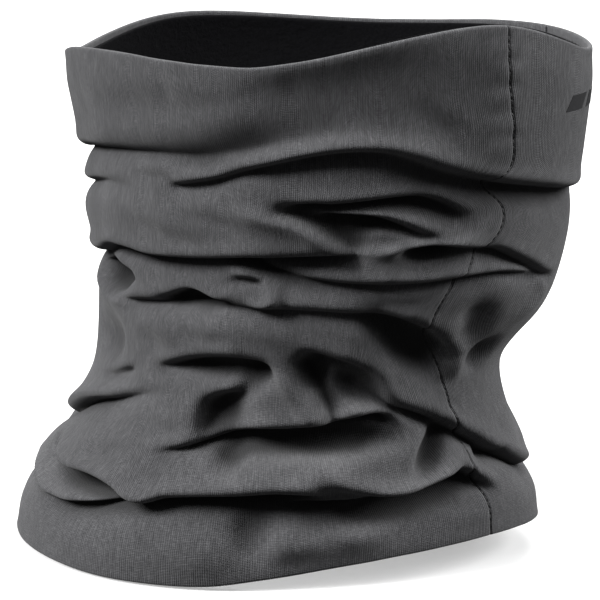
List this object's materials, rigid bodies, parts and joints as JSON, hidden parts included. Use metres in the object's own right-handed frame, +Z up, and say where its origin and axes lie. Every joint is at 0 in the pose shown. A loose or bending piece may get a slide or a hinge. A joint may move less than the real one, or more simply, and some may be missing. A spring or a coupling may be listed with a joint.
{
  "type": "neck gaiter",
  "caption": "Tube of dark grey jersey with a black brushed lining, worn over face and neck: wide at the face, narrow at the throat, flared over the shoulders.",
  "frame": {"origin": "below the middle of the tube, on the level that the hem rests on", "axes": "+Z up the neck, +X the way the wearer looks, +Y the wearer's left"},
  "size_m": [0.2179, 0.1598, 0.201],
  "materials": {
    "grey_jersey": "matte knit jersey",
    "black_brushed_lining": "brushed",
    "black_thread": "spun polyester thread",
    "dark_film": "satin heat-pressed film",
    "woven_label": "woven satin"
  },
  "bodies": {
    "root": {"main_panel": "grey_jersey", "front_panel": "grey_jersey", "right_seam_thread": "black_thread", "left_seam_thread": "black_thread", "lining": "black_brushed_lining", "lining_seam_thread": "black_thread", "top_edge_thread": "black_thread", "hem_thread": "black_thread", "print_bar_1": "dark_film", "print_bar_2": "dark_film", "print_bar_3": "dark_film", "care_label": "woven_label"}
  },
  "joints": []
}
